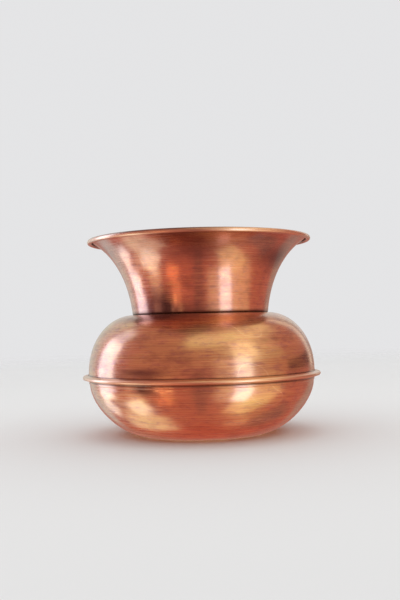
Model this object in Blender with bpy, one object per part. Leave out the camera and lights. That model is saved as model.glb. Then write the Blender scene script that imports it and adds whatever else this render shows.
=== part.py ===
"""A small copper spittoon (cuspidor): three spun sheets, a wired lip and a soldered neck.

Metres, +Z up. The origin is on the axis, at the middle of the flat base.

Each spinning is drawn as a skin line, one face of its sheet in the XZ plane. A Screw modifier turns
the line about Z, and a Solidify modifier adds the sheet's thickness behind it. The skin is the outer
face of the two bowls and the inner face of the neck, which becomes the outside of the rolled lip.
"""

import math

import bpy

# Sheet metal
SHEET = 0.0006  # gauge of the copper
GAP = 0.0003  # clearance between pieces that lie against each other
BEND_RADIUS = 0.0004  # outer radius of a tight bend in the sheet

# Lower bowl: flat base, curved wall, low step, then the edge folded over the upper bowl's flange
BASE_RADIUS = 0.0310
WALL_RADIUS = 0.0588
WALL_TOP = 0.0270
BAND_RADIUS = 0.0592
STEP_HEIGHT = 0.0004
HEM_RADIUS = 0.0625  # the widest point of the whole object
HEM_MIDDLE = 0.0302
HEM_ROUND = 0.0015  # half the height of the folded hem
HEM_CREVICE = 0.0004  # between the hem's raw edge and the upper bowl

# Upper bowl: collar inside the neck, flat shoulder, dome, then a flange inside the hem
DOME_RADIUS = 0.05935
DOME_TOP = 0.0624
SHOULDER_RADIUS = 0.0359
FLANGE_RADIUS = 0.0613
COLLAR_RADIUS = 0.0343
COLLAR_TOP = 0.0670

# Neck: a sleeve over the collar that flares out to the rolled lip
NECK_FOOT_RADIUS = 0.03528
NECK_FOOT = 0.06285
NECK_FOOT_SPREAD = 0.10  # radius gained per unit of height at the foot
LIP_RADIUS = 0.0590
LIP_TOP = 0.1021
LIP_ROUND = 0.00125  # outer radius of the roll
FLARE_RISE = math.radians(28)  # the flare's slope where it runs into the lip
LIP_ROLL = math.radians(275)  # how far round the edge is rolled

# Solder between collar and sleeve
SOLDER_BOTTOM = 0.0635
SOLDER_TOP = 0.0665

# Handles of the curves, as lengths along the tangent at each end
WALL_HANDLES = (0.0108, 0.0133)
DOME_HANDLES = (0.01175, 0.0185)
FLARE_HANDLES = (0.0165, 0.0149)

# Fineness of the solids
TURN_STEPS = 48
CURVE_STEPS = 8
HEM_STEPS = 6
LIP_STEPS = 9
BEND_STEPS = 2
WIRE_SIDES = 8

DOWN = -math.pi / 2
COPPER = (0.66, 0.30, 0.18)
WIRE_COPPER = (0.55, 0.26, 0.16)
SOLDER_GREY = (0.52, 0.52, 0.50)


def polar(centre, radius, angle):
    """The point at this angle on a circle in the XZ plane."""
    return (centre[0] + radius * math.cos(angle), centre[1] + radius * math.sin(angle))


def arc(centre, radius, start, end, steps):
    """Points along a circular arc, both ends included."""
    turn = (end - start) / steps
    return [polar(centre, radius, start + turn * i) for i in range(steps + 1)]


def curve(start, start_angle, end, end_angle, handles, steps):
    """Points along a cubic Bezier that leaves and arrives at the given angles, both ends included."""
    leaving = polar(start, handles[0], start_angle)
    arriving = polar(end, -handles[1], end_angle)
    points = []
    for i in range(steps + 1):
        t = i / steps
        weights = ((1 - t) ** 3, 3 * t * (1 - t) ** 2, 3 * t * t * (1 - t), t**3)
        corners = (start, leaving, arriving, end)
        points.append(tuple(sum(w * c[k] for w, c in zip(weights, corners)) for k in (0, 1)))
    return points


def inner_bend(radius, height):
    """The rounded corner between a wall below a ledge and the ledge, read from the ledge down."""
    centre = (radius + BEND_RADIUS, height - BEND_RADIUS)
    return arc(centre, BEND_RADIUS, math.pi / 2, math.pi, BEND_STEPS)


def outer_bend(radius, height):
    """The rounded corner between a wall above a ledge and the ledge, read from the wall outwards."""
    centre = (radius + BEND_RADIUS, height + BEND_RADIUS)
    return arc(centre, BEND_RADIUS, math.pi, 1.5 * math.pi, BEND_STEPS)


def lower_bowl_skin():
    """Outer face, from the hem's raw edge round the bead and down the wall to the base's middle."""
    hem_top = HEM_MIDDLE + HEM_ROUND
    hem_bottom = HEM_MIDDLE - HEM_ROUND
    hem_centre = (HEM_RADIUS - HEM_ROUND, HEM_MIDDLE)
    skin = [(DOME_RADIUS + HEM_CREVICE, hem_top)]
    skin += arc(hem_centre, HEM_ROUND, math.pi / 2, DOWN, HEM_STEPS)
    skin += inner_bend(BAND_RADIUS, hem_bottom)
    skin.append((BAND_RADIUS, WALL_TOP + STEP_HEIGHT))
    wall_top = (WALL_RADIUS, WALL_TOP)
    base_edge = (BASE_RADIUS, 0.0)
    skin += curve(wall_top, DOWN, base_edge, math.pi, WALL_HANDLES, CURVE_STEPS)
    skin.append((0.0, 0.0))
    return skin


def upper_bowl_skin():
    """Outer face, from the collar's top over the shoulder and dome to the edge of the flange."""
    flange_top = HEM_MIDDLE + SHEET / 2
    shoulder = (SHOULDER_RADIUS, DOME_TOP)
    dome_foot = (DOME_RADIUS, flange_top + 2 * BEND_RADIUS)
    skin = [(COLLAR_RADIUS, COLLAR_TOP)]
    skin += outer_bend(COLLAR_RADIUS, DOME_TOP)
    skin += curve(shoulder, 0.0, dome_foot, DOWN, DOME_HANDLES, CURVE_STEPS)
    skin += outer_bend(DOME_RADIUS, flange_top)
    skin.append((FLANGE_RADIUS, flange_top))
    return skin


def lip_centre():
    return (LIP_RADIUS - LIP_ROUND, LIP_TOP - LIP_ROUND)


def neck_skin():
    """Inner face, from the sleeve's foot up the flare, then over and round the rolled lip."""
    foot = (NECK_FOOT_RADIUS, NECK_FOOT)
    foot_angle = math.pi / 2 - math.atan(NECK_FOOT_SPREAD)
    roll_start = math.pi / 2 + FLARE_RISE
    flare_end = polar(lip_centre(), LIP_ROUND, roll_start)
    roll = arc(lip_centre(), LIP_ROUND, roll_start, roll_start - LIP_ROLL, LIP_STEPS)
    flare = curve(foot, foot_angle, flare_end, FLARE_RISE, FLARE_HANDLES, CURVE_STEPS)
    return flare + roll[1:]


def wire_section():
    """A round wire that fills the rolled lip, as a closed outline."""
    radius = LIP_ROUND - SHEET - GAP
    return arc(lip_centre(), radius, math.pi / 2, -1.5 * math.pi, WIRE_SIDES)[:-1]


def solder_section():
    """The wedge between the upright collar and the spreading sleeve, as a closed outline."""
    inner = COLLAR_RADIUS + GAP
    outline = []
    for height in (SOLDER_TOP, SOLDER_BOTTOM):
        sleeve = NECK_FOOT_RADIUS + NECK_FOOT_SPREAD * (height - NECK_FOOT)
        outline.append((sleeve - GAP, height))
    return outline + [(inner, SOLDER_BOTTOM), (inner, SOLDER_TOP)]


def metal(name, colour, roughness):
    material = bpy.data.materials.new(name)
    material.use_nodes = True
    shader = material.node_tree.nodes["Principled BSDF"]
    shader.inputs["Base Color"].default_value = (*colour, 1.0)
    shader.inputs["Metallic"].default_value = 1.0
    shader.inputs["Roughness"].default_value = roughness
    return material


def line_object(name, points, closed, material):
    """An object whose mesh is only a line in the XZ plane."""
    edges = [(i, i + 1) for i in range(len(points) - 1)]
    if closed:
        edges.append((len(points) - 1, 0))
    mesh = bpy.data.meshes.new(name)
    mesh.from_pydata([(r, 0.0, z) for r, z in points], edges, [])
    mesh.materials.append(material)
    made = bpy.data.objects.new(name, mesh)
    bpy.context.scene.collection.objects.link(made)
    return made


def add_turn(made):
    screw = made.modifiers.new("turn", "SCREW")
    screw.axis = "Z"
    screw.steps = TURN_STEPS
    screw.render_steps = TURN_STEPS
    screw.use_merge_vertices = True
    screw.merge_threshold = 0.00001


def add_thickness(made):
    solidify = made.modifiers.new("sheet", "SOLIDIFY")
    solidify.thickness = SHEET
    solidify.offset = -1.0
    solidify.use_even_offset = True


def apply_and_shade(made):
    """Keeps the turned shape as the object's own mesh, smooth but for the sheet's cut edges."""
    graph = bpy.context.evaluated_depsgraph_get()
    mesh = bpy.data.meshes.new_from_object(made.evaluated_get(graph))
    made.modifiers.clear()
    made.data = mesh
    mesh.name = made.name
    mesh.shade_smooth()
    mesh.set_sharp_from_angle(angle=math.radians(40))


def spun_sheet(name, skin, parent, material):
    made = line_object(name, skin, False, material)
    add_turn(made)
    add_thickness(made)
    apply_and_shade(made)
    made.parent = parent


def turned_ring(name, section, parent, material):
    made = line_object(name, section, True, material)
    add_turn(made)
    apply_and_shade(made)
    made.parent = parent


def main():
    for old in list(bpy.data.objects):
        bpy.data.objects.remove(old, do_unlink=True)
    spittoon = bpy.data.objects.new("spittoon", None)
    bpy.context.scene.collection.objects.link(spittoon)

    spun_sheet("lower_bowl", lower_bowl_skin(), spittoon, metal("lower_bowl_copper", COPPER, 0.30))
    spun_sheet("upper_bowl", upper_bowl_skin(), spittoon, metal("upper_bowl_copper", COPPER, 0.28))
    spun_sheet("flared_neck", neck_skin(), spittoon, metal("neck_copper", COPPER, 0.26))
    turned_ring("rim_wire", wire_section(), spittoon, metal("wire_copper", WIRE_COPPER, 0.45))
    turned_ring("neck_solder", solder_section(), spittoon, metal("solder", SOLDER_GREY, 0.50))


main()
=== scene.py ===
"""Looks of a small spun-copper spittoon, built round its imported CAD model.

Metres, +Z up, in the CAD model's own frame. The three spun sheets are turned again, finely, from
the CAD's skin lines, and take the places of their CAD nodes. The bead has a narrower nose here, the
dome runs into its flange in a wider fillet, and the sheets carry the small errors of hand spinning.
The lip wire and the solder keep their CAD solids and get a better material.
"""

import math

import bpy
from mathutils import Euler, Matrix, Vector, noise


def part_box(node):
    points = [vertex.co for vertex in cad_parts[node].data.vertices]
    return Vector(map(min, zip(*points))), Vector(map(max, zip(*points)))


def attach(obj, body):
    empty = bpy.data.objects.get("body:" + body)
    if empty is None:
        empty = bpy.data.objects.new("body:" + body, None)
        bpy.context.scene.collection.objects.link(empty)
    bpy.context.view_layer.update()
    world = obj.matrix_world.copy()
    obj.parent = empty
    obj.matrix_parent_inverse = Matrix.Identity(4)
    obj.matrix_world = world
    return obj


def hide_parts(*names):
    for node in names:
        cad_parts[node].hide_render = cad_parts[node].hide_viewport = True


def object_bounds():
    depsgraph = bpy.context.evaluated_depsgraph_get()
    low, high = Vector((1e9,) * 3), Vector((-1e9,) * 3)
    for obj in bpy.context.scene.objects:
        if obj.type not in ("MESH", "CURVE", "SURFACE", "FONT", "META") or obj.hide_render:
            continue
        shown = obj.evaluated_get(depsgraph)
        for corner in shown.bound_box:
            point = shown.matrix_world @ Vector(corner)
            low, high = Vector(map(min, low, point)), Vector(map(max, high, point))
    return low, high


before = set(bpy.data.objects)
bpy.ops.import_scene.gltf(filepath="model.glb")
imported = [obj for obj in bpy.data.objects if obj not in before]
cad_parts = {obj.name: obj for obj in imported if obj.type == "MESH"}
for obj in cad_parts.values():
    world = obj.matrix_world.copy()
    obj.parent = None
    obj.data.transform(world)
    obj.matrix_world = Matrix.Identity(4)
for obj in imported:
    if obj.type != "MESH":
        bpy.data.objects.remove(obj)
CAD_LOW, CAD_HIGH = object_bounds()
_, NECK_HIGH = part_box("flared_neck")
_, UPPER_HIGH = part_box("upper_bowl")
_, LOWER_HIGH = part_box("lower_bowl")

# Directions of a skin line in the XZ plane
OUTWARD = 0.0
UP = math.pi / 2
INWARD = math.pi
DOWN = -math.pi / 2

# Sizes that the three sheets share
SHEET = 0.0006  # gauge of the copper
BEND_RADIUS = 0.0004  # outer radius of a tight bend

# Lower bowl: flat base, curved wall, low step, then the edge folded over the upper bowl's flange
BASE_RADIUS = 0.0310
WALL_RADIUS = 0.0588
WALL_TOP = 0.0270
BAND_RADIUS = 0.0592
STEP_HEIGHT = 0.0004
HEM_RADIUS = LOWER_HIGH.x  # the widest point of the whole vessel
HEM_TOP = LOWER_HIGH.z
HEM_ROUND = 0.0015  # half the hem's height where it leaves the bowl
HEM_MIDDLE = HEM_TOP - HEM_ROUND
HEM_BOTTOM = HEM_MIDDLE - HEM_ROUND
HEM_EDGE_RADIUS = 0.0600  # where its raw edge ends, on the upper bowl's fillet
HEM_NOSE_RADIUS = 0.00090  # outwards, the hem is dressed down to this round nose
HEM_NOSE = HEM_MIDDLE + 0.0001  # height of the nose's centre

# Upper bowl: collar inside the neck, flat shoulder, dome, then a flange inside the hem
DOME_RADIUS = 0.05935
DOME_TOP = 0.0624
SHOULDER_RADIUS = 0.0359
FLANGE_RADIUS = UPPER_HIGH.x
FLANGE_TOP = HEM_MIDDLE + SHEET / 2
FLANGE_FILLET = 0.0018  # between dome and flange
COLLAR_RADIUS = 0.0343
COLLAR_TOP = UPPER_HIGH.z

# Neck: a sleeve over the collar that flares out to the rolled lip
NECK_FOOT_RADIUS = 0.03528
NECK_FOOT = 0.06285
NECK_FOOT_SPREAD = 0.10  # radius gained per unit of height at the foot
LIP_RADIUS = NECK_HIGH.x
LIP_TOP = NECK_HIGH.z
LIP_ROUND = 0.00125  # outer radius of the roll
LIP_MIDDLE = LIP_TOP - LIP_ROUND
FLARE_RISE = math.radians(28)  # the flare's slope where it runs into the lip
LIP_ROLL = math.radians(275)  # how far round the edge is rolled

# Handles of the curves, as lengths along the tangent at each end
WALL_HANDLES = (0.0108, 0.0133)
DOME_HANDLES = (0.01175, 0.0185)
FLARE_HANDLES = (0.0165, 0.0149)

# Fineness of the turned meshes
TURN_STEPS = 240
CURVE_STEPS = 64
ROLL_STEPS = 24
BEND_STEPS = 6
EDGE_STEPS = 4
FLAT_SPACING = 0.0006  # between points along the base, the collar and the flange
BAND_SPACING = 0.0003
HEM_SPACING = 0.0002
SAME_PLACE = 1e-6  # points closer than this, to each other or to the axis, are one

# Marks of hand spinning: how far off the true shape, in metres, how close together, and where in
# Blender's noise each is read
RING_DEPTH = 0.000010
RINGS_PER_METRE = 420
RING_PLACE = (0.5, 7.0)
RINGS_FADE = 0.01  # they die away within this radius of the axis
OUT_OF_ROUND = 0.00007
OVALS_PER_METRE = 9
OVAL_PLACE = Vector((3.1, 0, 0))
DENT_DEPTH = 0.00003
DENTS_PER_METRE = 55
DENT_PLACE = Vector((0, 8.3, 0))
TRUE_FOOT = 0.004  # the shape is true at the base and reaches its full error at this height

# Camera
CAMERA_DISTANCE = 0.4431
CAMERA_HEIGHT = 0.05765
CAMERA_PITCH = math.radians(1.56)  # upwards
CAMERA_ROLL = math.radians(-1.36)  # clockwise, seen from behind the camera
FOCAL_LENGTH = 50
SENSOR_WIDTH = 36


# ---------------------------------------------------------------- camera


def add_camera():
    """At about half the vessel's height, looking slightly up and rolled slightly clockwise."""
    data = bpy.data.cameras.new("camera")
    data.lens = FOCAL_LENGTH
    data.sensor_width = SENSOR_WIDTH
    camera = bpy.data.objects.new("camera", data)
    bpy.context.scene.collection.objects.link(camera)
    place = Matrix.Translation((0, -CAMERA_DISTANCE, CAMERA_HEIGHT))
    look = Euler((math.pi / 2 + CAMERA_PITCH, 0, 0)).to_matrix().to_4x4()
    roll = Matrix.Rotation(CAMERA_ROLL, 4, "Z")
    camera.matrix_world = place @ look @ roll
    bpy.context.scene.camera = camera


# ---------------------------------------------------------------- skin lines


def polar(centre, radius, angle):
    """The point at this angle on a circle in the XZ plane."""
    return (centre[0] + radius * math.cos(angle), centre[1] + radius * math.sin(angle))


def arc(centre, radius, start, end, steps):
    """Points along a circular arc, both ends included."""
    turn = (end - start) / steps
    return [polar(centre, radius, start + turn * i) for i in range(steps + 1)]


def curve(start, start_angle, end, end_angle, handles, steps=CURVE_STEPS):
    """Points along a cubic Bezier that leaves and arrives at the given angles, ends included."""
    leaving = polar(start, handles[0], start_angle)
    arriving = polar(end, -handles[1], end_angle)
    corners = (start, leaving, arriving, end)
    points = []
    for i in range(steps + 1):
        t = i / steps
        weights = ((1 - t) ** 3, 3 * t * (1 - t) ** 2, 3 * t * t * (1 - t), t**3)
        points.append(tuple(sum(w * c[k] for w, c in zip(weights, corners)) for k in (0, 1)))
    return points


def straight(start, end, spacing=FLAT_SPACING):
    """Evenly spaced points after start, up to and including end."""
    run = math.dist(start, end)
    steps = max(1, round(run / spacing))
    return [
        tuple(a + (b - a) * i / steps for a, b in zip(start, end)) for i in range(1, steps + 1)
    ]


def flank(root, nose, side):
    """The slope of a straight line from root that just touches the hem's nose.

    side is 1 for the line that touches it from above, -1 for the one from below.
    """
    heading = math.atan2(nose[1] - root[1], nose[0] - root[0])
    return heading + side * math.asin(HEM_NOSE_RADIUS / math.dist(root, nose))


def lower_bowl_skin():
    """Outer face, from the hem's raw edge round the bead and down the wall to the base's middle."""
    nose = (HEM_RADIUS - HEM_NOSE_RADIUS, HEM_NOSE)
    bend_centre = (BAND_RADIUS + BEND_RADIUS, HEM_BOTTOM - BEND_RADIUS)
    raw_edge_top = (HEM_EDGE_RADIUS, HEM_TOP)
    band_foot = (BAND_RADIUS, WALL_TOP + STEP_HEIGHT)
    wall_top = (WALL_RADIUS, WALL_TOP)
    step_handles = (STEP_HEIGHT / 2, STEP_HEIGHT / 2)
    upper = UP + flank(raw_edge_top, nose, 1)
    under = flank((BAND_RADIUS + BEND_RADIUS, HEM_BOTTOM), nose, -1) - UP
    bend_start = under + math.pi

    skin = [raw_edge_top]
    skin += straight(raw_edge_top, polar(nose, HEM_NOSE_RADIUS, upper), HEM_SPACING)
    skin += arc(nose, HEM_NOSE_RADIUS, upper, under, ROLL_STEPS)
    skin += straight(skin[-1], polar(bend_centre, BEND_RADIUS, bend_start), HEM_SPACING)
    skin += arc(bend_centre, BEND_RADIUS, bend_start, math.pi, BEND_STEPS)
    skin += straight(skin[-1], band_foot, BAND_SPACING)
    skin += curve(band_foot, DOWN, wall_top, DOWN, step_handles, BEND_STEPS)[1:]
    skin += curve(wall_top, DOWN, (BASE_RADIUS, 0.0), INWARD, WALL_HANDLES)[1:]
    skin += straight(skin[-1], (0.0, 0.0))
    return skin


def upper_bowl_skin():
    """Outer face, from the collar's top over the shoulder and dome to the edge of the flange."""
    collar_bend = (COLLAR_RADIUS + BEND_RADIUS, DOME_TOP + BEND_RADIUS)
    fillet = (DOME_RADIUS + FLANGE_FILLET, FLANGE_TOP + FLANGE_FILLET)
    shoulder = (SHOULDER_RADIUS, DOME_TOP)
    dome_foot = (DOME_RADIUS, FLANGE_TOP + FLANGE_FILLET)

    skin = [(COLLAR_RADIUS, COLLAR_TOP)]
    skin += straight(skin[0], (COLLAR_RADIUS, DOME_TOP + 2 * BEND_RADIUS))
    skin += arc(collar_bend, BEND_RADIUS, math.pi, 1.5 * math.pi, BEND_STEPS)
    skin += curve(shoulder, OUTWARD, dome_foot, DOWN, DOME_HANDLES)
    skin += arc(fillet, FLANGE_FILLET, math.pi, 1.5 * math.pi, ROLL_STEPS)
    skin += straight(skin[-1], (FLANGE_RADIUS, FLANGE_TOP))
    return skin


def neck_skin():
    """Inner face, from the sleeve's foot up the flare, then over and round the rolled lip."""
    lip_centre = (LIP_RADIUS - LIP_ROUND, LIP_MIDDLE)
    foot = (NECK_FOOT_RADIUS, NECK_FOOT)
    foot_angle = UP - math.atan(NECK_FOOT_SPREAD)
    roll_start = UP + FLARE_RISE
    flare_end = polar(lip_centre, LIP_ROUND, roll_start)
    roll = arc(lip_centre, LIP_ROUND, roll_start, roll_start - LIP_ROLL, ROLL_STEPS)
    return curve(foot, foot_angle, flare_end, FLARE_RISE, FLARE_HANDLES) + roll[1:]


# ---------------------------------------------------------------- turned sheets


def unit_normals(skin):
    """The direction out of the sheet at each point, to the left of the line's run."""
    normals = []
    for i in range(len(skin)):
        back, ahead = skin[max(i - 1, 0)], skin[min(i + 1, len(skin) - 1)]
        run = math.dist(back, ahead)
        normals.append((-(ahead[1] - back[1]) / run, (ahead[0] - back[0]) / run))
    return normals


def with_spinning_marks(skin):
    """The skin line with the shallow rings that a spinning tool leaves, none at the axis."""
    marked, along = [], 0.0
    for i, (point, normal) in enumerate(zip(skin, unit_normals(skin))):
        along += math.dist(point, skin[i - 1]) if i else 0.0
        fade = min(1.0, point[0] / RINGS_FADE)
        depth = RING_DEPTH * fade * noise.noise(Vector((along * RINGS_PER_METRE, *RING_PLACE)))
        marked.append((point[0] + normal[0] * depth, point[1] + normal[1] * depth))
    return marked


def without_repeats(points):
    """The points without those that lie on the one before."""
    kept = [points[0]]
    for point in points[1:]:
        if math.dist(point, kept[-1]) > SAME_PLACE:
            kept.append(point)
    return kept


def raw_edge(front, normal, sign):
    """The rounded cut edge of the sheet, from its skin to its other face; sign says which end."""
    half = SHEET / 2
    middle = (front[0] - normal[0] * half, front[1] - normal[1] * half)
    start = math.atan2(normal[1], normal[0])
    turned = [start + sign * math.pi * i / EDGE_STEPS for i in range(1, EDGE_STEPS)]
    return [polar(middle, half, angle) for angle in turned]


def sheet_section(skin):
    """The closed outline of the sheet behind a skin line, and how far along it each point is."""
    normals = unit_normals(skin)
    lengths = [0.0]
    for before, after in zip(skin, skin[1:]):
        lengths.append(lengths[-1] + math.dist(before, after))
    behind = [(p[0] - n[0] * SHEET, p[1] - n[1] * SHEET) for p, n in zip(skin, normals)]
    outline, along = list(skin), list(lengths)
    if skin[-1][0] < SAME_PLACE:
        behind[-1] = (0.0, behind[-1][1])
    else:
        edge = raw_edge(skin[-1], normals[-1], -1)
        outline += edge
        along += [lengths[-1]] * len(edge)
    outline += behind[::-1]
    along += lengths[::-1]
    edge = raw_edge(skin[0], normals[0], 1)[::-1]
    outline += edge
    along += [0.0] * len(edge)
    return outline, along


def hand_made(point):
    """A point of the true shape moved in or out as a hand-spun, handled vessel is."""
    flat = Vector((point.x, point.y, 0))
    if flat.length < SAME_PLACE:
        return point
    oval = OUT_OF_ROUND * noise.noise(point * OVALS_PER_METRE + OVAL_PLACE)
    dent = DENT_DEPTH * noise.noise(point * DENTS_PER_METRE + DENT_PLACE)
    fade = min(1.0, point.z / TRUE_FOOT)
    return point + flat.normalized() * (oval + dent) * fade


def turn_section(outline, along):
    """Vertices, faces and one (share of the turn, length along the skin) pair per face corner."""
    vertices, faces, corners = [], [], []
    count = len(outline)
    rings = []
    for radius, height in outline:
        if radius < SAME_PLACE:
            rings.append([len(vertices)] * TURN_STEPS)
            vertices.append(Vector((0, 0, height)))
            continue
        rings.append(list(range(len(vertices), len(vertices) + TURN_STEPS)))
        for k in range(TURN_STEPS):
            angle = 2 * math.pi * k / TURN_STEPS
            point = Vector((radius * math.cos(angle), radius * math.sin(angle), height))
            vertices.append(hand_made(point))
    for i in range(count):
        j = (i + 1) % count
        if outline[i][0] < SAME_PLACE and outline[j][0] < SAME_PLACE:
            continue
        for k in range(TURN_STEPS):
            k_next = (k + 1) % TURN_STEPS
            loop = [
                (rings[i][k], k, along[i]),
                (rings[j][k], k, along[j]),
                (rings[j][k_next], k + 1, along[j]),
                (rings[i][k_next], k + 1, along[i]),
            ]
            kept = [c for n, c in enumerate(loop) if c[0] != loop[n - 1][0]]
            faces.append([c[0] for c in kept])
            corners += [(c[1] / TURN_STEPS, c[2]) for c in kept]
    return vertices, faces, corners


def nearness(point, circles):
    """From 1 on the nearest of some circles round the axis to 0 away from them.

    Each circle is (radius, height, reach).
    """
    here = (math.hypot(point.x, point.y), point.z)
    found = [math.exp(-(math.dist(here, circle[:2]) / circle[2]) ** 2) for circle in circles]
    return max(found, default=0.0)


def darkening(point, stains):
    """How dark a point is, from 0 to 1, by all of some dark patches together: tarnish, and in
    places painted dark reflections.

    Each patch is (azimuth from the front in degrees, height, reach round, reach up, strength).
    """
    radius = math.hypot(point.x, point.y)
    azimuth = math.atan2(point.x, -point.y)
    found = []
    for side, height, reach_round, reach_up, strength in stains:
        aside = math.remainder(azimuth - math.radians(side), 2 * math.pi) * radius / reach_round
        above = (point.z - height) / reach_up
        found.append(strength * math.exp(-(aside**2) - above**2))
    return min(1.0, sum(found))


def paint(mesh, layer, measure, marks):
    """A number at each vertex for one of the copper's marks: wear with painted highlights, painted
    crevice shade, tarnish with painted dark reflections.
    """
    mesh.attributes.new(layer, "FLOAT", "POINT")
    values = [measure(vertex.co, marks) for vertex in mesh.vertices]
    mesh.attributes[layer].data.foreach_set("value", values)


def spun_sheet(name, skin, material, wear_and_highlight_circles, shaded_crevices, dark_patches):
    """A thin turned sheet as a piece of its own, riding on the one rigid body.

    wear_and_highlight_circles (wear, and painted highlights) and shaded_crevices (painted crevice
    shade) are circles as nearness takes them; dark_patches (tarnish, and painted dark reflections
    in places) are as darkening takes them.
    """
    outline, along = sheet_section(with_spinning_marks(without_repeats(skin)))
    vertices, faces, corners = turn_section(outline, along)
    mesh = bpy.data.meshes.new(name)
    mesh.from_pydata(vertices, [], faces)
    spin = mesh.uv_layers.new(name="spin")
    for entry, corner in zip(spin.data, corners):
        entry.uv = corner
    paint(mesh, "wear_and_highlight", nearness, wear_and_highlight_circles)
    paint(mesh, "crevice_shade", nearness, shaded_crevices)
    paint(mesh, "tarnish_and_dark_reflection", darkening, dark_patches)
    mesh.materials.append(material)
    mesh.shade_smooth()
    piece = bpy.data.objects.new(name, mesh)
    bpy.context.scene.collection.objects.link(piece)
    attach(piece, "root")
    return piece


# ---------------------------------------------------------------- nodes


def node(tree, kind, inputs, **settings):
    """A shader node with its settings, and each input set to a value or joined to a socket."""
    made = tree.nodes.new("ShaderNode" + kind)
    for key, value in settings.items():
        setattr(made, key, value)
    for key, value in inputs.items():
        if isinstance(value, bpy.types.NodeSocket):
            tree.links.new(value, made.inputs[key])
        else:
            made.inputs[key].default_value = value
    return made


def maths(tree, operation, *values):
    """The result of one Math node."""
    return node(tree, "Math", dict(enumerate(values)), operation=operation).outputs[0]


def ramp(tree, value, low, high, to_low=0.0, to_high=1.0):
    """value eased from to_low at low to to_high at high."""
    inputs = {
        "Value": value,
        "From Min": low,
        "From Max": high,
        "To Min": to_low,
        "To Max": to_high,
    }
    return node(tree, "MapRange", inputs, interpolation_type="SMOOTHSTEP").outputs["Result"]


def blend(tree, share, first, second, mode="MIX"):
    """first and second, each a socket or an (r, g, b), mixed as far as share says."""
    # A Mix node has sockets for every data type. In its colour form these ones count.
    factor, first_colour, second_colour, result = 0, 6, 7, 2
    inputs = {factor: share}
    for key, value in ((first_colour, first), (second_colour, second)):
        inputs[key] = value if isinstance(value, bpy.types.NodeSocket) else (*value, 1.0)
    return node(tree, "Mix", inputs, data_type="RGBA", blend_type=mode).outputs[result]


# ---------------------------------------------------------------- copper


class Around:
    """Noise laid round a turned sheet: long round the axis, short along the skin, no seam."""

    def __init__(self, tree, seed):
        self.tree = tree
        self.seed = seed
        coordinates = node(tree, "TexCoord", {})
        self.place = coordinates.outputs["Object"]
        self.along = node(tree, "SeparateXYZ", {0: coordinates.outputs["UV"]}).outputs["Y"]
        level = {0: self.place, 1: (1, 1, 0)}
        flat = node(tree, "VectorMath", level, operation="MULTIPLY").outputs[0]
        unit = node(tree, "VectorMath", {0: flat}, operation="NORMALIZE").outputs[0]
        self.circle = node(tree, "SeparateXYZ", {0: unit}).outputs

    def noise(self, turns, per_metre, detail=2.0, roughness=0.5, shift=0.0):
        """turns sets how often it changes round the axis, per_metre how often along the skin."""
        tree = self.tree
        parts = {
            "X": maths(tree, "MULTIPLY_ADD", self.circle["X"], turns, shift),
            "Y": maths(tree, "MULTIPLY_ADD", self.circle["Y"], turns, self.seed),
            "Z": maths(tree, "MULTIPLY", self.along, per_metre),
        }
        inputs = {
            "Vector": node(tree, "CombineXYZ", parts).outputs[0],
            "Scale": 1.0,
            "Detail": detail,
            "Roughness": roughness,
        }
        return node(tree, "TexNoise", inputs).outputs[0]


# Base colours of the metal and of what lies on it
RED_COPPER = (0.78, 0.35, 0.235)
WARM_COPPER = (0.79, 0.39, 0.25)
GOLD_COPPER = (0.82, 0.48, 0.26)
MAUVE_PATINA = (0.56, 0.27, 0.24)
DULLED_COPPER = (0.62, 0.36, 0.33)
BROWN_PATINA = (0.42, 0.18, 0.13)
# bright rubbed copper, also laid on as a painted highlight along the bead's front and in a line
# just above the neck's foot
WORN_AND_HIGHLIT_COPPER = (0.95, 0.62, 0.44)
# dark patches: tarnish, and painted dark reflections on the front of the neck, at its foot and
# along the top of the lip
TARNISH_AND_DARK_REFLECTION = (0.20, 0.085, 0.080)
# painted shade in the crevices above and under the hem, under the lip and at the neck's seam
CREVICE_SHADE = (0.055, 0.025, 0.02)

# The copper's noise patterns, as the settings of Around.noise
BRUSHED = {"turns": 2.2, "per_metre": 1500, "detail": 3, "roughness": 0.6}
SCORED = {"turns": 1.1, "per_metre": 420, "detail": 2, "shift": 5.0}
CLOUDED = {"turns": 1.5, "per_metre": 60, "detail": 5, "roughness": 0.62, "shift": 11.0}
STAINED = {"turns": 4.5, "per_metre": 130, "detail": 4, "roughness": 0.6, "shift": 17.0}
MOTTLED = {"turns": 9.0, "per_metre": 480, "detail": 4, "roughness": 0.7, "shift": 23.0}

# Ramps over a pattern: from, to, then the share or factor at either end where it isn't 0 to 1
GOLD_IN_CLOUD = (0.62, 0.85)  # both move down as more of the copper is golden
GOLD_PULL = 0.3  # by this much where all of it is
MAUVE_IN_MOTTLE = (0.50, 0.66, 0.0, 0.7)
GOLD_IN_MOTTLE = (0.34, 0.46, 0.6, 0.0)
DULL_HEIGHT = (0.084, 0.098)  # over height, in metres: the copper is duller towards the lip
DULL_IN_CLOUD = (0.3, 0.6, 0.3, 0.7)
BROWN_IN_STAIN = (0.46, 0.72)
SHADE_OF_BRUSHING = (0.25, 0.75, 0.86, 1.08)
SHADE_OF_SCORING = (0.3, 0.7, 0.92, 1.05)
# the cloud breaks up the tarnish and the painted dark reflections alike
DARK_PATCHES_IN_CLOUD = (0.3, 0.6, 0.7, 1.0)
ROUGHER_BY_BRUSHING = (0.4, 0.7, 0.0, 0.06)
SCRATCHED_IN_BRUSHING = (0.3, 0.7, 0.20, 0.45)

# Nicks: one in each chosen cell of a Voronoi pattern
NICK_CELLS_PER_METRE = 85.0
NICKED_CELLS = (0.30, 0.31, 1.0, 0.0)  # a ramp over a cell's own random grey
NICK_EDGE = (0.02, 0.04, 1.0, 0.0)  # a ramp over the distance from its middle, in cells

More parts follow.
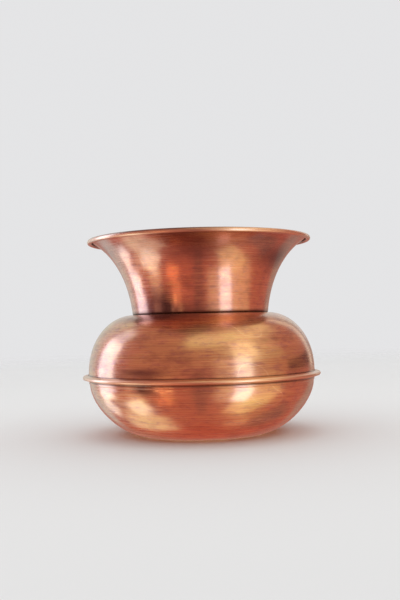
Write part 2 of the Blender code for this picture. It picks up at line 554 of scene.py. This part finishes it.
# Hairlines: where one noise passes through its middle value, in the patches that another picks
HAIRLINE_BENDS_PER_METRE = 42.0
HAIRLINE_PATCHES_PER_METRE = 23.0
HAIRLINE_EDGE = (0.0, 0.008, 1.0, 0.0)
HAIRLINE_PATCHES = (0.5, 0.6)

# How much of the colour each mark takes over
# share of worn copper and painted highlight
RUBBED_AND_HIGHLIT_SHARE = 0.85
# share of the painted crevice shade
CREVICE_SHADE_SHARE = 0.85
HAIRLINE_STRENGTH = 0.5

# Surface
STAIN_EDGES = (0.3, 0.75)
STAIN_ROUGHNESS = (-0.02, 0.04)  # added to the copper's own roughness outside and inside stains
MARK_ROUGHNESS = 0.12  # added by nicks and hairlines
SCRATCHED_ROUGHNESS = 0.46  # of the rougher of the two shaders that are mixed
# rougher lobe on the circles of wear and painted highlight
SCRATCHED_ON_WEAR_AND_HIGHLIGHT = 0.45
ANISOTROPY = 0.5
ALONG_BRUSHING = 0.25  # a quarter turn from the radial tangent
LACQUER = 0.5
LACQUER_ROUGHNESS = 0.22
SCORED_DEPTH = 1.5  # against a brushed depth of 1
RELIEF = {"Strength": 0.3, "Distance": 0.000004}


def nicks(around):
    """1 on the few small knocks scattered over the sheet, 0 elsewhere."""
    tree = around.tree
    inputs = {"Vector": around.place, "Scale": NICK_CELLS_PER_METRE}
    cells = node(tree, "TexVoronoi", inputs).outputs
    close = ramp(tree, cells["Distance"], *NICK_EDGE)
    return maths(tree, "MULTIPLY", close, ramp(tree, cells["Color"], *NICKED_CELLS))


def hairlines(around):
    """1 on fine curved scratches that cross the brushing in places, 0 elsewhere."""
    tree = around.tree
    inputs = {"Vector": around.place, "Scale": HAIRLINE_BENDS_PER_METRE, "Detail": 1.0}
    bends = node(tree, "TexNoise", inputs).outputs[0]
    inputs = {"Vector": around.place, "Scale": HAIRLINE_PATCHES_PER_METRE, "Detail": 2.0}
    patches = node(tree, "TexNoise", inputs).outputs[0]
    off = maths(tree, "ABSOLUTE", maths(tree, "SUBTRACT", bends, 0.5))
    line = ramp(tree, off, *HAIRLINE_EDGE)
    return maths(tree, "MULTIPLY", line, ramp(tree, patches, *HAIRLINE_PATCHES))


def patina_colour(around, red, gold, patina, patterns):
    """The copper before any mark on it: golden, mauve, dulled and brown patches, and streaks."""
    tree = around.tree
    brushed, scored, cloud, stain = patterns
    mottle = around.noise(**MOTTLED)
    height = node(tree, "SeparateXYZ", {0: around.place}).outputs["Z"]

    gold_share = ramp(tree, cloud, *(edge - gold * GOLD_PULL for edge in GOLD_IN_CLOUD))
    colour = blend(tree, gold_share, red, GOLD_COPPER)
    colour = blend(tree, ramp(tree, mottle, *MAUVE_IN_MOTTLE), colour, MAUVE_PATINA)
    colour = blend(tree, ramp(tree, mottle, *GOLD_IN_MOTTLE), colour, GOLD_COPPER)
    near_lip = ramp(tree, height, *DULL_HEIGHT)
    dull_share = maths(tree, "MULTIPLY", near_lip, ramp(tree, cloud, *DULL_IN_CLOUD))
    colour = blend(tree, dull_share, colour, DULLED_COPPER)
    brown_share = maths(tree, "MULTIPLY", ramp(tree, stain, *BROWN_IN_STAIN), patina)
    colour = blend(tree, brown_share, colour, BROWN_PATINA)

    streak = ramp(tree, brushed, *SHADE_OF_BRUSHING)
    streak = maths(tree, "MULTIPLY", streak, ramp(tree, scored, *SHADE_OF_SCORING))
    grey = node(tree, "CombineXYZ", {0: streak, 1: streak, 2: streak}).outputs[0]
    return blend(tree, 1.0, colour, grey, "MULTIPLY")


def copper(name, seed, red, gold, patina, roughness):
    """Lathe-brushed, handled copper.

    red is its colour where it isn't golden. gold and patina are how much of it has turned golden
    or brown. seed sets the place in the noise, so that no two sheets have the same patches.
    """
    material = bpy.data.materials.new(name)
    material.use_nodes = True
    tree = material.node_tree
    around = Around(tree, seed)
    patterns = [around.noise(**settings) for settings in (BRUSHED, SCORED, CLOUDED, STAINED)]
    brushed, scored, cloud, stain = patterns
    scratches = maths(tree, "MULTIPLY", hairlines(around), HAIRLINE_STRENGTH)
    marks = maths(tree, "MAXIMUM", nicks(around), scratches)
    # The vertex layers: wear with painted highlights, painted crevice shade, and tarnish with
    # painted dark reflections.
    wear_and_highlight, crevice_shade, tarnish_and_dark_reflection = (
        node(tree, "Attribute", {}, attribute_name=layer).outputs["Fac"]
        for layer in ("wear_and_highlight", "crevice_shade", "tarnish_and_dark_reflection")
    )

    colour = patina_colour(around, red, gold, patina, patterns)
    # Worn copper and painted highlights, then the dark patches of tarnish and painted dark
    # reflections, then painted shade in the crevices.
    rubbed_and_highlit = maths(tree, "MAXIMUM", maths(tree, "MULTIPLY", wear_and_highlight, RUBBED_AND_HIGHLIT_SHARE), marks)
    colour = blend(tree, rubbed_and_highlit, colour, WORN_AND_HIGHLIT_COPPER)
    tarnish_and_dark_reflection = maths(tree, "MULTIPLY", tarnish_and_dark_reflection, ramp(tree, cloud, *DARK_PATCHES_IN_CLOUD))
    colour = blend(tree, tarnish_and_dark_reflection, colour, TARNISH_AND_DARK_REFLECTION)
    colour = blend(tree, maths(tree, "MULTIPLY", crevice_shade, CREVICE_SHADE_SHARE), colour, CREVICE_SHADE)

    rough = ramp(tree, stain, *STAIN_EDGES, *(roughness + more for more in STAIN_ROUGHNESS))
    rough = maths(tree, "ADD", rough, ramp(tree, brushed, *ROUGHER_BY_BRUSHING))
    rough = maths(tree, "MULTIPLY_ADD", marks, MARK_ROUGHNESS, rough)
    relief = maths(tree, "MULTIPLY_ADD", scored, SCORED_DEPTH, brushed)
    bump = node(tree, "Bump", {**RELIEF, "Height": relief}).outputs[0]
    tangent = node(tree, "Tangent", {}, direction_type="RADIAL", axis="Z").outputs[0]

    polished = tree.nodes["Principled BSDF"]
    scratched = tree.nodes.new("ShaderNodeBsdfPrincipled")
    for shader in (polished, scratched):
        tree.links.new(colour, shader.inputs["Base Color"])
        tree.links.new(bump, shader.inputs["Normal"])
        tree.links.new(tangent, shader.inputs["Tangent"])
        shader.inputs["Metallic"].default_value = 1.0
        shader.inputs["Anisotropic"].default_value = ANISOTROPY
        shader.inputs["Anisotropic Rotation"].default_value = ALONG_BRUSHING
        shader.inputs["Coat Weight"].default_value = LACQUER
        shader.inputs["Coat Roughness"].default_value = LACQUER_ROUGHNESS
    tree.links.new(rough, polished.inputs["Roughness"])
    scratched.inputs["Roughness"].default_value = SCRATCHED_ROUGHNESS
    share = ramp(tree, brushed, *SCRATCHED_IN_BRUSHING)
    share = maths(tree, "MULTIPLY_ADD", wear_and_highlight, SCRATCHED_ON_WEAR_AND_HIGHLIGHT, share)
    both = node(tree, "MixShader", {0: share, 1: polished.outputs[0], 2: scratched.outputs[0]})
    tree.links.new(both.outputs[0], tree.nodes["Material Output"].inputs["Surface"])
    return material


# The metal parts that are hidden
LIGHT_SOLDER = (0.50, 0.50, 0.48)
DARK_SOLDER = (0.26, 0.25, 0.24)
LUMPY = {"Detail": 4.0, "Roughness": 0.6}
LUMP_STRENGTH = 0.6
SHADE_EDGES = (0.35, 0.65)
ROUGH_EDGES = (0.3, 0.7)
ROUGH_SPREAD = 0.15


def plain_metal(name, light, dark, lumps_per_metre, lump_height, roughness):
    """A hidden metal part in two mixed shades, with an uneven surface."""
    material = bpy.data.materials.new(name)
    material.use_nodes = True
    tree = material.node_tree
    place = node(tree, "TexCoord", {}).outputs["Object"]
    inputs = {"Vector": place, "Scale": lumps_per_metre, **LUMPY}
    cloud = node(tree, "TexNoise", inputs).outputs[0]
    inputs = {"Strength": LUMP_STRENGTH, "Distance": lump_height, "Height": cloud}
    bump = node(tree, "Bump", inputs).outputs[0]
    colour = blend(tree, ramp(tree, cloud, *SHADE_EDGES), light, dark)
    rough = ramp(tree, cloud, *ROUGH_EDGES, roughness, roughness + ROUGH_SPREAD)
    shader = tree.nodes["Principled BSDF"]
    tree.links.new(colour, shader.inputs["Base Color"])
    tree.links.new(rough, shader.inputs["Roughness"])
    tree.links.new(bump, shader.inputs["Normal"])
    shader.inputs["Metallic"].default_value = 1.0
    return material


def finish_hidden_parts():
    """The wire in the lip and the solder in the neck's lap keep their CAD solids."""
    wire = plain_metal("wire_copper", WARM_COPPER, BROWN_PATINA, 900, 0.00002, roughness=0.35)
    solder = plain_metal("solder", LIGHT_SOLDER, DARK_SOLDER, 600, 0.00005, roughness=0.40)
    for name, material in (("rim_wire", wire), ("neck_solder", solder)):
        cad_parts[name].material_slots[0].material = material


# ---------------------------------------------------------------- stage and light

FLOOR_GREY = (0.80, 0.80, 0.80)
FLOOR_RADIUS = 1.6
FLOOR_FADE = (0.25, 1.3, 1.0, 0.0)  # a ramp over the distance from the axis
FLOOR_GAP = 0.00005  # below the base
FLOOR_ROUGHNESS = 0.9
FLOOR_SHINE = 0.1
BACKDROP_GREY = (0.78, 0.78, 0.79)
BACKDROP_RADIUS = 6.0
SOFTBOX_WIDTH = 4.0
SOFTBOX_HEIGHT = 1.3
SOFTBOX_POWER = 54.5

# What the copper mirrors. The room's own colour changes from low to high between two elevations.
LOW_ROOM = (0.57, 0.22, 0.165)
HIGH_ROOM = (0.50, 0.25, 0.20)
ROOM_CHANGE = (math.radians(-45), math.radians(40))
# The panes lie over the room and over each other, in this order. Each has its name, the azimuth
# from the camera's side towards +X, the elevation, half its width, half its height and its soft
# edge, all in degrees, then its colour.
PANES = (
    ("left_wall", -163, 25, 30, 62, 8, (0.67, 0.73, 0.69)),
    ("right_wall", 165, 45, 25, 42, 8, (0.74, 0.76, 0.74)),
    ("right_wall_foot", 165, -12, 28, 16, 6, (0.48, 0.36, 0.30)),
    ("under_the_wall", 180, -62, 42, 33, 6, (0.58, 0.17, 0.12)),
    ("foot_of_the_wall", 180, -20, 22, 17, 8, (0.50, 0.22, 0.17)),
    ("golden_wall", 60, 34, 34, 18, 14, (0.74, 0.56, 0.37)),
    ("golden_ceiling", 54, 56, 75, 13, 16, (1.08, 1.04, 0.66)),
    ("bright_corner", 49, 32, 14, 14, 13, (1.50, 1.45, 1.10)),
    ("zenith", 0, 90, 360, 15, 12, (0.15, 0.10, 0.09)),
    ("dark_ceiling", -80, 78, 80, 9, 8, (0.15, 0.08, 0.07)),
    ("dark_front", -2, -34, 8, 37, 8, (0.33, 0.16, 0.14)),
    ("window_haze", 25, -12, 12, 34, 12, (0.86, 0.66, 0.46)),
    ("right_haze", 70, -24, 18, 20, 12, (1.00, 0.78, 0.50)),
    ("left_haze", -76, -28, 10, 10, 8, (1.00, 0.79, 0.57)),
    ("left_sill", -74, -9, 8, 4, 3, (1.45, 1.00, 0.68)),
    ("dark_corner", -57, -14, 9, 10, 6, (0.20, 0.11, 0.09)),
    ("warm_floor_left", -116, -56, 30, 15, 8, (1.10, 1.02, 0.76)),
    ("warm_floor_back", 116, -70, 11, 7, 6, (1.00, 0.66, 0.42)),
    ("warm_floor_right", 60, -52, 22, 15, 9, (1.22, 1.10, 0.60)),
    ("dark_floor", 125, -48, 16, 13, 8, (0.36, 0.20, 0.17)),
    ("orange_floor", -38, -22, 7, 14, 6, (0.95, 0.46, 0.27)),
    ("orange_glow", -46, -41, 10, 7, 5, (1.45, 0.64, 0.34)),
    ("glint_left", -46, -10, 2, 3, 2, (2.60, 1.90, 1.10)),
    ("glint_middle", -41, -17, 2, 4, 2, (2.20, 1.30, 0.70)),
    ("glint_right", -33, -10, 4, 3, 2, (2.30, 1.60, 0.90)),
    ("left_glow", -89, -44, 16, 10, 8, (1.85, 2.25, 2.05)),
    ("left_gap", -108, -31, 6, 12, 5, (0.80, 0.58, 0.44)),
    ("left_window_top", -114, 33, 12, 13, 9, (1.25, 1.50, 1.85)),
    ("left_window", -112, 7.5, 14, 21, 4, (1.98, 2.48, 3.20)),
    ("left_window_low", -117, -18, 12, 6, 4, (2.10, 2.65, 3.00)),
    ("left_window_foot", -128, -29, 8, 7, 5, (1.80, 2.15, 2.20)),
    ("right_window_top", 42, 8, 9, 14, 7, (1.85, 2.20, 2.40)),
    ("right_window", 43, -25, 10, 20, 5, (2.05, 2.50, 2.85)),
    ("dark_shelf", 117, 4, 22, 4.5, 2, (0.12, 0.06, 0.06)),
    ("bright_edge", 147, 30, 3, 32, 3, (1.10, 1.05, 0.90)),
    ("dark_edge", 154, 30, 2, 32, 3, (0.28, 0.19, 0.16)),
)


def only_seen_by(obj, camera=False, diffuse=False, shadow=False):
    """Hides an object from every kind of ray but the ones named. The copper never mirrors it."""
    obj.visible_camera = camera
    obj.visible_diffuse = diffuse
    obj.visible_glossy = False
    obj.visible_transmission = False
    obj.visible_shadow = shadow


def add_world():
    """A warm room with windows, which only the copper mirrors."""
    world = bpy.data.worlds.new("room")
    bpy.context.scene.world = world
    world.cycles_visibility.camera = False
    world.cycles_visibility.diffuse = False
    world.use_nodes = True
    tree = world.node_tree
    way = node(tree, "TexCoord", {}).outputs["Generated"]
    x, y, z = node(tree, "SeparateXYZ", {0: way}).outputs
    azimuth = maths(tree, "ARCTAN2", x, maths(tree, "MULTIPLY", y, -1.0))
    elevation = maths(tree, "ARCSINE", z)
    colour = blend(tree, ramp(tree, elevation, *ROOM_CHANGE), LOW_ROOM, HIGH_ROOM)
    for _, side, up, half_width, half_height, edge, tint in PANES:
        aside = maths(tree, "SUBTRACT", azimuth, math.radians(side))
        aside = maths(tree, "WRAP", aside, math.pi, -math.pi)
        above = maths(tree, "SUBTRACT", elevation, math.radians(up))
        inside = []
        for off, half in ((aside, half_width), (above, half_height)):
            off = maths(tree, "ABSOLUTE", off)
            low, high = math.radians(half - edge / 2), math.radians(half + edge / 2)
            inside.append(ramp(tree, off, low, high, 1.0, 0.0))
        colour = blend(tree, maths(tree, "MULTIPLY", *inside), colour, tint)
    tree.links.new(colour, tree.nodes["Background"].inputs["Color"])


def add_floor():
    """A pale floor that fades out into the backdrop."""
    bpy.ops.mesh.primitive_circle_add(vertices=96, radius=FLOOR_RADIUS, fill_type="NGON")
    floor = bpy.context.object
    floor.name = "floor"
    floor.location.z = CAD_LOW.z - FLOOR_GAP
    material = bpy.data.materials.new("floor")
    material.use_nodes = True
    tree = material.node_tree
    shader = tree.nodes["Principled BSDF"]
    shader.inputs["Base Color"].default_value = (*FLOOR_GREY, 1.0)
    shader.inputs["Roughness"].default_value = FLOOR_ROUGHNESS
    shader.inputs["Specular IOR Level"].default_value = FLOOR_SHINE
    place = node(tree, "TexCoord", {}).outputs["Object"]
    reach = node(tree, "VectorMath", {0: place}, operation="LENGTH").outputs["Value"]
    tree.links.new(ramp(tree, reach, *FLOOR_FADE), shader.inputs["Alpha"])
    floor.data.materials.append(material)
    only_seen_by(floor, camera=True, diffuse=True, shadow=True)


def add_backdrop():
    """A plain pale surround that only the camera sees."""
    bpy.ops.mesh.primitive_uv_sphere_add(segments=48, ring_count=24, radius=BACKDROP_RADIUS)
    backdrop = bpy.context.object
    backdrop.name = "backdrop"
    material = bpy.data.materials.new("backdrop")
    material.use_nodes = True
    tree = material.node_tree
    glow = node(tree, "Emission", {"Color": (*BACKDROP_GREY, 1.0), "Strength": 1.0})
    tree.links.new(glow.outputs[0], tree.nodes["Material Output"].inputs["Surface"])
    backdrop.data.materials.append(material)
    only_seen_by(backdrop, camera=True)


def add_softbox():
    """A very wide soft light overhead, for the floor and the shadow under the bowl."""
    data = bpy.data.lights.new("softbox", "AREA")
    data.shape = "DISK"
    data.size = SOFTBOX_WIDTH
    data.energy = SOFTBOX_POWER
    softbox = bpy.data.objects.new("softbox", data)
    bpy.context.scene.collection.objects.link(softbox)
    softbox.location = (0, 0, SOFTBOX_HEIGHT)
    only_seen_by(softbox, diffuse=True)


# ---------------------------------------------------------------- assembly


# Circles of wear, of painted highlight and of painted crevice shade: radius, height, reach
# wear on the bead's crest, which also paints a highlight along its front
BEAD_WEAR_AND_HIGHLIGHT = (HEM_RADIUS - 0.0006, HEM_MIDDLE + 0.0003, 0.0016)
BASE_EDGE = (BASE_RADIUS + 0.002, 0.0, 0.0015)
BASE_MIDDLE = (0.0, 0.0, 0.0012)
# a painted highlight: a bright line just above the neck's foot
NECK_FOOT_HIGHLIGHT = (NECK_FOOT_RADIUS, NECK_FOOT + 0.0018, 0.0007)
LIP = (LIP_RADIUS, LIP_MIDDLE, 0.0011)
# painted shade: in the crevices above and under the hem, at the neck's seam and under the lip
ABOVE_HEM = (DOME_RADIUS + 0.0001, HEM_TOP, 0.0004)
UNDER_HEM = (BAND_RADIUS + 0.0002, HEM_BOTTOM - 0.0003, 0.0004)
NECK_SEAM = (NECK_FOOT_RADIUS + 0.0006, NECK_FOOT - 0.0002, 0.0011)
UNDER_LIP = (LIP_RADIUS - 0.0026, LIP_MIDDLE - 0.0005, 0.0007)

# Dark patches, tarnish and in places painted dark reflections: azimuth from the front in degrees,
# height, reach round the vessel, reach up it, strength
BOWL_DARK_PATCHES = ((-30, 0.0270, 0.005, 0.002, 1),)
DOME_DARK_PATCHES = (
    (-29, 0.0347, 0.015, 0.0021, 0.9),
    (-28, 0.0605, 0.024, 0.002, 0.9),
)
NECK_DARK_PATCHES = (
    # painted dark reflection across the front of the upper neck
    (-3, 0.0945, 0.016, 0.007, 0.75),
    # painted dark reflections at the neck's foot
    (-20, 0.0645, 0.018, 0.004, 1),
    (-36, 0.0670, 0.006, 0.009, 1),
    (60, 0.0900, 0.015, 0.006, 1),
    # painted dark reflection along the top of the lip
    (-30, LIP_TOP - 0.0001, 0.030, 0.0009, 1),
)


def add_pieces():
    """The three spun sheets, each in the place of its CAD node."""
    piece = spun_sheet(
        "lower_bowl_sheet",
        lower_bowl_skin(),
        copper(
            "lower_bowl_copper",
            seed=1.0,
            red=WARM_COPPER,
            gold=0.5,
            patina=0.4,
            roughness=0.16,
        ),
        wear_and_highlight_circles=(BEAD_WEAR_AND_HIGHLIGHT, BASE_EDGE, BASE_MIDDLE),
        shaded_crevices=(ABOVE_HEM, UNDER_HEM),
        dark_patches=BOWL_DARK_PATCHES,
    )
    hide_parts("lower_bowl")

    piece = spun_sheet(
        "upper_bowl_sheet",
        upper_bowl_skin(),
        copper(
            "upper_bowl_copper",
            seed=4.0,
            red=WARM_COPPER,
            gold=0.65,
            patina=0.5,
            roughness=0.16,
        ),
        wear_and_highlight_circles=(),
        shaded_crevices=(ABOVE_HEM, NECK_SEAM),
        dark_patches=DOME_DARK_PATCHES,
    )
    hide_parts("upper_bowl")

    piece = spun_sheet(
        "neck_sheet",
        neck_skin(),
        copper(
            "neck_copper",
            seed=7.0,
            red=RED_COPPER,
            gold=0.20,
            patina=0.5,
            roughness=0.15,
        ),
        wear_and_highlight_circles=(LIP, NECK_FOOT_HIGHLIGHT),
        shaded_crevices=(NECK_SEAM, UNDER_LIP),
        dark_patches=NECK_DARK_PATCHES,
    )
    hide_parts("flared_neck")


bpy.context.scene.view_settings.view_transform = "Standard"
add_camera()
add_world()
add_floor()
add_backdrop()
add_softbox()
add_pieces()
finish_hidden_parts()
